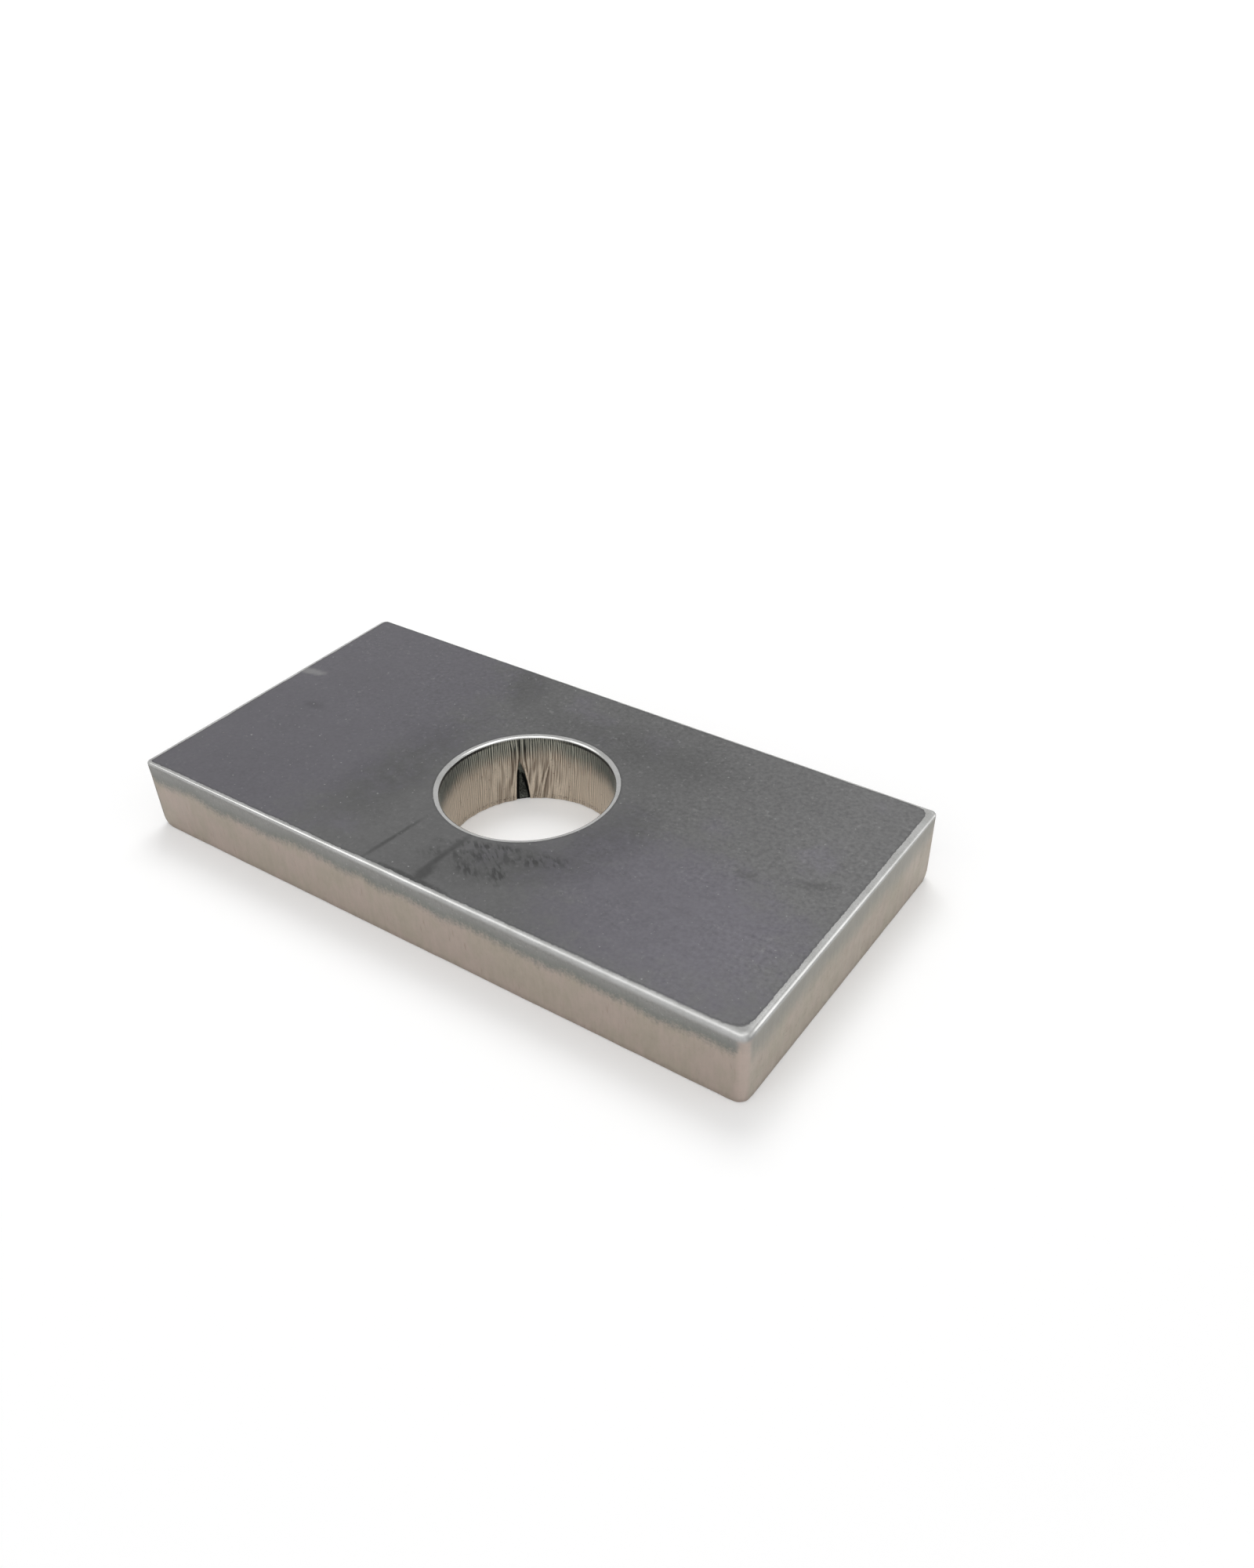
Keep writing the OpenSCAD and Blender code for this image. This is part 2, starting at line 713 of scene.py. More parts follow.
class PlateMesh:
    """The whole plate as one closed mesh, with every edge and mark in its shape."""

    OUTER_COLUMNS = 2140
    HOLE_COLUMNS = 1240
    SIDE_ROWS = 10
    WALL_ROWS = 22
    ARC_STEPS = 5
    BEVEL_TILT = 38.0
    LAP = 0.04
    LEAST_FACET = 0.06
    MERGE = 0.0005
    EVEN_REACH = 7
    EDGE_SWAY = (0.1, 7.0)
    LOWER_SWAY = (0.3, 3.0)
    RIM_SWAY = (0.15, 4.0)
    RIM_LOWER_SWAY = (0.5, 0.9)
    FULL_BEVEL_RADIUS = 0.5
    BEVEL_SHARE = 0.8
    SIDE_CROWD = 1.8
    SIDE_FADE = 1.6
    WALL_FADE = (0.35, 0.75)
    RIM_FADE = 0.6

    def __init__(self, plate: Plate) -> None:
        """Keep the plate's sizes and the marks of its cut.

        Args:
            plate: The sizes and edge forms.
        """
        self.plate = plate
        self.side_cut = SideCut()
        self.hole_cut = HoleCut(plate.hole_radius, plate.thickness)
        self.bm = bmesh.new()
        self.valley = self.bm.verts.layers.float.new("valley")
        # This layer marks painted shadow and soot in the scoop: half in its hollow, full in its black
        # lines.
        self.soot = self.bm.verts.layers.float.new("soot")

    def shoulder(self, facet: float, drop: float, top: float, bevel: float) -> list[Vector]:
        """Return the dressed upper part of a section, from the top face down to the cut face.

        Args:
            facet: The width of the ground facet.
            drop: How far the facet slopes down towards the edge.
            top: The radius of the rounding beyond it.
            bevel: The length of the flat that parts the rounding.

        Returns:
            The points, as insets from the cut face and heights over the top face.
        """
        steps = [(math.atan2(drop, facet), math.hypot(facet, drop))]
        chord = 2.0 * top * math.sin(math.radians(45.0 / self.ARC_STEPS))
        for step in range(self.ARC_STEPS):
            steps.append((math.radians(90.0 * (step + 0.5) / self.ARC_STEPS), chord))
        steps.append((math.radians(self.BEVEL_TILT), bevel))
        points = [Vector((0.0, 0.0))]
        for tilt, length in sorted(steps):
            points.append(points[-1] - Vector((math.cos(tilt), math.sin(tilt))) * length)
        inset = Vector((-points[-1].x, 0.0))
        return [inset + point for point in points]

    def profile(
        self, shoulder: list[Vector], bottom: float, rows: int, crowd: float = 1.0
    ) -> list[tuple[float, float]]:
        """Return one edge-to-edge section as insets from the cut face and heights.

        Args:
            shoulder: The dressed upper part.
            bottom: The radius of the lower rounding.
            rows: How many steps the upright part has.
            crowd: How closely they crowd towards the underside, or 1 for even steps.

        Returns:
            The section's points, from the top face down to the underside.
        """
        thickness = self.plate.thickness
        points = [(shoulder[0].x + self.LAP, thickness)]
        points.extend((max(point.x, 0.0), thickness + point.y) for point in shoulder)
        start = thickness + shoulder[-1].y
        for step in range(1, rows):
            points.append((0.0, blend(bottom, start, (1.0 - step / rows) ** crowd)))
        for step in range(self.ARC_STEPS):
            angle = math.pi / 2 * step / (self.ARC_STEPS - 1)
            points.append((bottom * (1.0 - math.cos(angle)), bottom * (1.0 - math.sin(angle))))
        points.append((bottom + self.LAP, 0.0))
        return points

    def wrap(
        self, columns: int, rows: int, put: Callable[[int, int], tuple[Vector, float, float]]
    ) -> None:
        """Lay a flat grid round a closed line.

        Args:
            columns: How many faces go round the line.
            rows: How many faces go from the top to the underside.
            put: For a column and a row, the place in millimetres, the valley and the share of painted
                shadow and soot.
        """
        grid = bmesh.ops.create_grid(self.bm, x_segments=columns, y_segments=rows, size=0.5)
        for vert in grid["verts"]:
            column = round((vert.co.x + 0.5) * columns) % columns
            row = round((0.5 - vert.co.y) * rows)
            vert.co, vert[self.valley], vert[self.soot] = put(column, row)

    def smoothed(self, stations: list[Station]) -> list[Station]:
        """Even out how the edges' forms change from station to station.

        Args:
            stations: The stations of the whole outline.

        Returns:
            The stations with evened radii and bands, which fit round the corners.
        """
        count, reach = len(stations), self.EVEN_REACH
        found = []
        for index, station in enumerate(stations):
            group = [stations[(index + step) % count] for step in range(-reach, reach + 1)]
            radius = min(station.radius, sum(item.radius for item in group) / len(group))
            band = min(station.band, sum(item.band for item in group) / len(group))
            pull = sum((item.pull for item in group), Vector((0.0, 0.0))) / len(group)
            found.append(Station(station.place, station.facing, radius, band, pull))
        return found

    @staticmethod
    def swayed(size: float, where: Vector, sway: tuple[float, float]) -> float:
        """Return a size that varies along its edge, by a share of itself over a length."""
        share, length = sway
        return size * (1.0 + share * noise.noise(where / length))

    def add_sides(self) -> None:
        """Add the four sides, the corners between them and their edges."""
        plate = self.plate
        stations = self.smoothed(Outline(plate).stations(self.OUTER_COLUMNS))
        sections = []
        for station in stations:
            where = station.place.to_3d()
            radius = self.swayed(station.radius, where, self.EDGE_SWAY)
            lower = self.swayed(plate.bottom_radius, where, self.LOWER_SWAY)
            bevel = plate.bevel * min(radius / self.FULL_BEVEL_RADIUS, 1.0)
            facet = max(station.band - radius - bevel * self.BEVEL_SHARE, self.LEAST_FACET)
            shoulder = self.shoulder(facet, plate.facet_drop, radius, bevel)
            sections.append(self.profile(shoulder, lower, self.SIDE_ROWS, self.SIDE_CROWD))

        def put(column: int, row: int) -> tuple[Vector, float, float]:
            """Return a vertex of the outer grid.

            Args:
                column: Its station.
                row: Its point of the section there.

            Returns:
                Its place in millimetres, its valley and its share of painted shadow and soot.
            """
            station = stations[column]
            point, facing = station.place, station.facing
            inset, z = sections[column][row]
            low = max(1.0 - z / plate.vertex_height, 0.0)
            point = point + station.pull * (1.0 - math.sqrt(1.0 - low * low))
            fade = smoothstep(plate.thickness, plate.thickness - self.SIDE_FADE, z)
            fade = fade if inset <= 0.0 else 0.0
            depth = self.side_cut.form(Vector((point.x, point.y, z))) * fade
            place = (point - facing * (inset + depth)).to_3d()
            place.z = z
            return place, depth / self.side_cut.depth / 2.0, 0.0

        self.wrap(self.OUTER_COLUMNS, len(sections[0]) - 1, put)

    def add_hole(self) -> None:
        """Add the hole's wall and its two rims."""
        plate = self.plate
        sections = []
        for column in range(self.HOLE_COLUMNS):
            angle = math.tau * column / self.HOLE_COLUMNS
            where = Vector((math.cos(angle), math.sin(angle), 0.0)) * plate.hole_radius
            radius = self.swayed(plate.rim_radius, where, self.RIM_SWAY)
            lower = self.swayed(plate.rim_bottom_radius, where, self.RIM_LOWER_SWAY)
            shoulder = self.shoulder(plate.rim_facet, plate.rim_drop, radius, plate.rim_bevel)
            sections.append(self.profile(shoulder, lower, self.WALL_ROWS))

        def put(column: int, row: int) -> tuple[Vector, float, float]:
            """Return a vertex of the hole's grid, which is walked clockwise.

            Args:
                column: Its direction from the hole's axis.
                row: Its point of the section there.

            Returns:
                Its place in millimetres, its valley and its share of painted shadow and soot.
            """
            angle = -math.tau * column / self.HOLE_COLUMNS
            inset, z = sections[column][row]
            depth, valley, soot = self.hole_cut.form(angle, z)
            depth *= smoothstep(*(plate.thickness - drop for drop in self.WALL_FADE), z)
            fade = 1.0 if inset <= 0.0 or z < 1.0 else smoothstep(self.RIM_FADE, 0.0, inset)
            radius = plate.hole_radius + max(inset, depth * fade, inset + depth * fade * 0.5)
            if inset <= 0.0:
                radius = plate.hole_radius + depth
            place = Vector((radius * math.cos(angle), radius * math.sin(angle), z))
            return place, valley, soot

        self.wrap(self.HOLE_COLUMNS, len(sections[0]) - 1, put)

    def close(self) -> None:
        """Join the grids' ends and fill the two faces of the plate."""
        bmesh.ops.remove_doubles(self.bm, verts=self.bm.verts, dist=self.MERGE)
        for upper in (True, False):
            edges = [
                edge
                for edge in self.bm.edges
                if edge.is_boundary and (edge.verts[0].co.z > self.plate.thickness / 2) == upper
            ]
            bmesh.ops.triangle_fill(self.bm, use_beauty=True, edges=edges)
        bmesh.ops.recalc_face_normals(self.bm, faces=self.bm.faces)
        bmesh.ops.scale(self.bm, vec=(MM, MM, MM), verts=self.bm.verts)

    def build(self, name: str) -> bpy.types.Object:
        """Make the plate's object.

        Args:
            name: The object's name.

        Returns:
            The object, linked to the scene.
        """
        self.add_sides()
        self.add_hole()
        self.close()
        mesh = bpy.data.meshes.new(name)
        for face in self.bm.faces:
            face.smooth = True
        self.bm.to_mesh(mesh)
        self.bm.free()
        log.info("%s has %d faces", name, len(mesh.polygons))
        return add_object(name, mesh)


@dataclass(frozen=True)
class Stain:
    """A soft-edged oval mark on the top face."""

    x: float
    y: float
    half_length: float
    half_width: float
    turn: float = 0.0
    soft: float = 0.5

    def mask(self, x: Value, y: Value, ragged: Value) -> Value:
        """Return how strong the mark is at a point, from 0 to 1.

        Args:
            x: The point's place along the plate.
            y: The point's place across the plate.
            ragged: Noise about 0 that breaks the mark's edge up.

        Returns:
            The mark's share.
        """
        along, across = turned(x - self.x, y - self.y, self.turn)
        far = x.graph.distance(along / self.half_length, across / self.half_width) + ragged
        return 1.0 - far.ramp(1.0 - self.soft, 1.0 + self.soft)


@dataclass(frozen=True)
class Spot:
    """What every finish asks about the shaded point, in millimetres."""

    graph: Graph
    place: Value
    x: Value
    y: Value
    z: Value
    upper: Value
    radius: Value
    across: Value
    along: Value
    valley: Value
    soot: Value

    def grain(self, *form: float) -> Value:
        """Return soft noise from 0 to 1 at the point, of the form that Graph.grain takes."""
        return self.graph.grain(self.place, *form)

    def ripple(self, *form: float) -> Value:
        """Return the same noise about 0."""
        return self.grain(*form) - 0.5


@dataclass(frozen=True)
class MillScale:
    """The dark scale that hot rolling leaves on both faces, with its stains."""

    violet: Rgb = (0.111, 0.107, 0.121)
    slate: Rgb = (0.105, 0.105, 0.105)
    pale_end: float = 0.34
    pale_span: tuple[float, float] = (8.0, 56.0)
    left_shade: float = 0.12
    left_span: tuple[float, float] = (-34.0, -8.0)
    dark: Rgb = (0.030, 0.030, 0.030)
    speck: Rgb = (0.30, 0.30, 0.30)
    scuff_colour: Rgb = (0.26, 0.26, 0.255)
    violet_patches: tuple[Stain, ...] = (
        Stain(-44.0, 2.0, 24.0, 40.0, 0.0, 0.35),
        Stain(34.0, -14.0, 21.0, 14.0, -12.0, 0.4),
    )
    shadows: tuple[Stain, ...] = (
        Stain(11.5, -16.5, 13.5, 4.8, 30.0, 0.5),
        Stain(19.0, -5.0, 5.0, 8.5, -20.0, 0.6),
        Stain(-20.0, -9.0, 6.0, 17.0, 0.0, 0.6),
        Stain(6.0, 18.0, 16.0, 5.0, 0.0, 0.7),
        Stain(-18.0, 23.0, 7.0, 3.0, -58.0, 0.6),
        Stain(50.0, 2.6, 3.0, 1.2, 25.0, 0.6),
        Stain(40.5, -0.6, 1.6, 1.0, 0.0, 0.6),
        Stain(-46.0, -1.0, 1.8, 0.8, 0.0, 0.95),
    )
    ticked: tuple[Stain, ...] = (
        Stain(10.0, -20.0, 2.6, 1.3, -40.0, 0.6),
        Stain(5.2, -21.4, 2.8, 1.1, -10.0, 0.9),
        Stain(6.0, -17.8, 6.5, 1.6, 25.0, 1.0),
        Stain(13.2, -13.8, 3.0, 0.8, 25.0, 0.9),
        Stain(13.6, -14.4, 4.0, 1.2, 30.0, 0.8),
        Stain(5.0, -15.6, 5.5, 0.8, 20.0, 0.9),
    )
    streaks: tuple[Stain, ...] = (
        Stain(-8.6, -21.6, 5.2, 0.35, 84.0, 0.95),
        Stain(0.6, -21.6, 6.8, 0.62, 88.0, 0.75),
        Stain(0.9, -25.6, 2.4, 1.0, 88.0, 0.6),
        Stain(-0.4, -27.4, 6.0, 0.45, 0.0, 0.6),
    )
    stroke_turn: float = -38.0
    stroke_squeeze: float = 0.3
    scuff: Stain = Stain(-54.8, 7.0, 2.6, 0.9, 12.0, 0.5)

    def coat(self, spot: Spot, room: Value) -> Coat:
        """Return the scale's coat.

        Args:
            spot: The shaded point.
            room: How far inside the scale's edge the point lies.

        Returns:
            The coat.
        """
        graph = spot.graph
        cloud, mottle = spot.ripple(14.0, 4.0, 0.6), spot.ripple(2.2, 3.0, 0.6)
        side = spot.x / 280.0 + spot.y / 100.0
        busy = 0.6 + (spot.grain(11.0, 2.0, 0.5) * 0.9 + side).ramp(0.25, 0.75)
        fine = spot.ripple(0.7, 2.0, 0.6) * busy
        ragged = cloud * 1.2 + mottle * 0.9
        violet = self.gathered(spot, self.violet_patches, ragged)
        colour = graph.mix(violet.most((cloud * 4.0).ramp(0.3, 1.2)), self.slate, self.violet)
        shade = 0.98 + cloud * 0.18 + mottle * 0.30 + fine * 0.66
        shade = shade * (0.74 + 0.26 * room.ramp(0.04, 0.45))
        shade = shade * (1.0 + self.pale_end * spot.x.ramp(*self.pale_span))
        from_left = (spot.x - spot.y * 0.3).ramp(*self.left_span)
        shade = shade * blend(1.0 - self.left_shade, 1.0, from_left)
        shadow = self.gathered(spot, self.shadows, ragged) * spot.upper
        shade = shade * (1.0 - shadow * (0.22 + mottle * 0.6))
        along, across = turned(spot.x, spot.y, self.stroke_turn)
        drawn = {0: along * self.stroke_squeeze, 1: across, 2: spot.z}
        strokes = graph.grain(graph.node("ShaderNodeCombineXYZ", {}, drawn), 0.7, 2.0, 0.5)
        ticked = self.gathered(spot, self.ticked, mottle * 1.6) * spot.upper
        streaks = self.gathered(spot, self.streaks, mottle * 0.8 + fine * 0.6) * spot.upper
        ticks = ticked * (0.18 + strokes.ramp(0.43, 0.58) * 0.86)
        smudge = ticks.most(streaks * (0.6 + strokes * 0.4))
        colour = graph.mix(smudge * 0.86, graph.tint(colour, shade), self.dark)
        flecks = spot.grain(0.55, 1.0, 0.5).ramp(0.70, 0.86)
        pale = spot.grain(1.0, 2.0, 0.6).ramp(0.60, 0.80) * busy
        scuff = self.scuff.mask(spot.x, spot.y, mottle * 1.5) * spot.upper
        colour = graph.mix(flecks.most(pale * 0.22), colour, self.speck)
        colour = graph.mix(scuff * 0.5, colour, self.scuff_colour)
        roughness = 0.52 + mottle * 0.16 + fine * 0.14 - violet * 0.03 + smudge * 0.12
        return Coat(colour, roughness, 0.0, fine * 0.012 + mottle * 0.02)

    @staticmethod
    def gathered(spot: Spot, stains: Sequence[Stain], ragged: Value) -> Value:
        """Return the strongest of several stains at the point, with edges that noise breaks up."""
        return functools.reduce(Value.most, (stain.mask(spot.x, spot.y, ragged) for stain in stains))


@dataclass(frozen=True)
class GroundSteel:
    """The bright steel of the dressed edges, duller along the right part of the near one."""

    near_edge: float
    right_edge: float
    bright: Rgb = (0.45, 0.45, 0.445)
    dull: Rgb = (0.36, 0.36, 0.35)
    shine: float = 0.2
    dullness: float = 0.24
    metallic: float = 0.9
    near_reach: tuple[float, float] = (1.6, 2.6)
    inner_reach: tuple[float, float] = (0.35, 0.8)
    right_reach: tuple[float, float] = (-2.4, -1.6)

    def coat(self, spot: Spot) -> Coat:
        """Return the coat of the ground facets and roundings.

        Args:
            spot: The shaded point.

        Returns:
            The coat.
        """
        graph = spot.graph
        strokes, clouds = spot.ripple(0.5, 4.0, 0.6), spot.ripple(4.0, 2.0, 0.5)
        bright = (0.5 + clouds * 1.6 + strokes * 0.8).ramp(0.0, 1.0)
        near = 1.0 - spot.y.ramp(*(self.near_edge + reach for reach in self.near_reach))
        inner = (spot.y - self.near_edge).ramp(*self.inner_reach) * near
        colour = graph.tint(graph.mix(bright, self.dull, self.bright), 1.0 - inner * 0.24)
        right = spot.x.ramp(*(self.right_edge + reach for reach in self.right_reach))
        roughness = self.shine + strokes * 0.12 + near * spot.across.ramp(0.1, 0.9) * self.dullness
        roughness = roughness + right * (1.0 - near) * 0.08
        return Coat(colour, roughness, self.metallic, strokes * 0.003)


@dataclass(frozen=True)
class CutSide:
    """The four cut sides: a dull oxide band above, warm bare cut steel below."""

    thickness: float
    right_end: float
    band_top: Rgb = (0.250, 0.246, 0.235)
    band_foot: Rgb = (0.192, 0.198, 0.182)
    right_band: Rgb = (0.288, 0.277, 0.244)
    warm: Rgb = (0.390, 0.330, 0.277)
    rosy: Rgb = (0.405, 0.326, 0.294)
    olive: Rgb = (0.366, 0.330, 0.262)
    right_warm: Rgb = (0.440, 0.400, 0.332)
    blotch: Rgb = (0.300, 0.238, 0.188)
    # Pinkish tone with a painted highlight, for the rounding of the near right upright corner.
    corner_pink_and_highlight: Rgb = (0.500, 0.405, 0.360)
    # Painted shade for the rounding of the near left upright corner, where it turns away.
    corner_painted_shade: Rgb = (0.105, 0.104, 0.088)
    speck: Rgb = (0.40, 0.40, 0.38)
    rust: Rgb = (0.210, 0.150, 0.105)
    foot: Rgb = (0.230, 0.185, 0.155)
    band_share: float = 0.285
    metallic: float = 0.3

    def coat(self, spot: Spot, corner: Value) -> Coat:
        """Return the coat of the sides.

        Args:
            spot: The shaded point.
            corner: How near the point is to an upright corner, from 0 to 1.

        Returns:
            The coat.
        """
        graph = spot.graph
        lines, drags = spot.ripple(0.27, 2.0, 0.5, 0.045), spot.ripple(1.1, 4.0, 0.6, 0.4)
        wave = spot.ripple(9.0, 2.0, 0.5, 0.1)
        patch, fine = spot.ripple(5.0, 3.0, 0.6), spot.ripple(0.4, 3.0, 0.6)
        depth = self.thickness - spot.z
        border = depth - self.thickness * self.band_share + wave * 3.2
        border = border + lines * 0.4 + drags * 1.1 + fine * 2.2
        right = spot.x.ramp(self.right_end - 1.2, self.right_end - 0.4)
        below = (border + corner * 2.0).ramp(-1.1 - right * 0.4, 1.2 + right * 2.0)
        band = graph.mix(border.ramp(-2.6, -0.4), self.band_top, self.band_foot)
        specks = spot.grain(0.45, 2.0, 0.6).ramp(0.62, 0.78)
        band = graph.tint(graph.mix(specks * 0.5, band, self.speck), 1.0 + fine * 0.5)
        band = graph.mix(right * 0.92, band, self.right_band)
        warm = graph.mix((patch * 3.0 + drags * 1.5 + 0.5).ramp(0.0, 1.0), self.olive, self.rosy)
        warm = graph.mix(0.6, warm, graph.mix(right, self.warm, self.right_warm))
        colour = graph.mix(below, band, warm)
        rusty = spot.grain(0.7, 3.0, 0.65).ramp(0.58, 0.76) * (right * 0.6 + 0.25)
        scratches = spot.grain(0.5, 3.0, 0.6, 0.12).ramp(0.60, 0.72)
        scratches = scratches * (0.35 + patch * 2.0).ramp(0.1, 0.7) * (1.0 - right * 0.6)
        blotches = (spot.grain(2.6, 4.0, 0.65) * 2.4 - 0.95).ramp(0.0, 1.0) * right
        # first marks the near right upright corner, whose rounding gets the pinkish painted
        # highlight.
        first = spot.across.ramp(0.9, 0.95) * (1.0 - spot.along.ramp(0.05, 0.10))
        # last marks the near left upright corner, whose rounding is painted dark as shade.
        last = (1.0 - spot.across.ramp(0.006, 0.012)) * (1.0 - spot.along.ramp(0.012, 0.04))
        colour = graph.layers(
            colour,
            (rusty * below * 0.5, self.rust),
            (scratches * below * 0.4, self.rust),
            (blotches * below * 0.4, self.blotch),
            (corner * first * 0.7, self.corner_pink_and_highlight),
            (last * 0.75, self.corner_painted_shade),
        )
        shade = 1.08 + lines * (0.24 - below * 0.14) + drags * 0.22 + patch * 0.16 + fine * 0.10
        low = 1.0 - (spot.z + drags * 1.2).ramp(0.1, 1.3)
        colour = graph.mix(low * 0.4, graph.tint(colour, shade), self.foot)
        roughness = 0.46 + lines * 0.12 + fine * 0.12
        height = lines * 0.02 + drags * 0.02 + fine * 0.008
        return Coat(colour, roughness, self.metallic, height)


@dataclass(frozen=True)
class HoleWall:
    """The wall of the hole, with strong upright marks, a burnt lower rim and painted shadow under its
    rim and in its scoop.
    """

    thickness: float
    high_crest: Rgb = (0.215, 0.222, 0.196)
    high_valley: Rgb = (0.030, 0.036, 0.033)
    low_crest: Rgb = (0.60, 0.523, 0.428)
    low_valley: Rgb = (0.215, 0.172, 0.134)
    pale_middle: Rgb = (0.470, 0.470, 0.405)
    rust: Rgb = (0.170, 0.115, 0.075)
    pale_angle: float = 128.0
    # Painted shade for the scoop's hollow; the high hollow_metallic keeps sheen off it.
    hollow: Rgb = (0.052, 0.055, 0.048)
    # Near black, for painted shadow under the rim and in the scoop.
    soot: Rgb = (0.004, 0.004, 0.004)
    burnt: Rgb = (0.085, 0.055, 0.045)
    metallic: float = 0.3
    hollow_metallic: float = 0.95

    def coat(self, spot: Spot) -> Coat:
        """Return the coat of the hole's wall.

        Args:
            spot: The shaded point.

        Returns:
            The coat.
        """
        graph = spot.graph
        lines, wave = spot.ripple(0.2, 1.0, 0.5, 0.08), spot.ripple(5.0, 3.0, 0.6, 0.25)
        crumbs = spot.ripple(0.3, 2.0, 0.6)
        depth = self.thickness - spot.z
        angle = math.radians(self.pale_angle)
        facing = (spot.x * math.cos(angle) + spot.y * math.sin(angle)) / spot.radius
        middle = facing.ramp(0.45, 0.95)
        reach = depth + middle * 0.8 + lines * 1.6 + wave * 2.6 + crumbs * 1.4
        low = reach.ramp(2.4, 6.2)
        valley = (spot.valley + lines * 0.45 + crumbs * 0.25).ramp(0.14, 0.86)
        crest = graph.mix(middle, self.high_crest, self.pale_middle)
        high_colour = graph.mix(valley, crest, self.high_valley)
        low_colour = graph.mix(valley, self.low_crest, self.low_valley)
        pale = 1.06 + 0.17 * (1.0 - spot.z.ramp(2.5, 8.5))
        low_colour = graph.tint(low_colour, pale + crumbs * 0.6 + lines * 0.7)
        specks = spot.grain(0.4, 1.0, 0.5).ramp(0.68, 0.76)
        low_colour = graph.mix(specks * 0.5, low_colour, self.rust)
        # Painted shadow: a black line just under the rim's bevel, fainter round pale_angle.
        edge = 1.0 - (depth - 0.56 - crumbs * 0.2).size().ramp(0.16, 0.42)
        shadow_under_rim = edge * (1.0 - facing.ramp(0.82, 0.98) * 0.85) * (0.9 + crumbs * 0.8)
        foot = (1.0 - (spot.z - 0.8).size().ramp(0.12, 0.4)) * (0.3 + crumbs * 3.0).ramp(0.2, 0.9)
        # Painted shade in the scoop's hollow, mottled and lighter towards its top.
        hollow = graph.tint(self.hollow, 1.0 + crumbs * 5.0 + spot.z.ramp(4.4, 6.0) * 3.2)
        colour = graph.layers(
            high_colour,
            (low, low_colour),
            (shadow_under_rim, self.soot),
            (foot * 0.7, self.burnt),
            # Painted shade in the scoop's hollow, then the black lines of painted shadow.
            (spot.soot.ramp(0.15, 0.4), hollow),
            ((spot.soot + crumbs * 0.2).ramp(0.62, 0.86), self.soot),
        )
        metallic = blend(self.metallic, self.hollow_metallic, spot.soot.ramp(0.1, 0.3))
        roughness = 0.45 + lines * 0.15 + valley * 0.1
        return Coat(colour, roughness, metallic, lines * 0.02 + crumbs * 0.01)


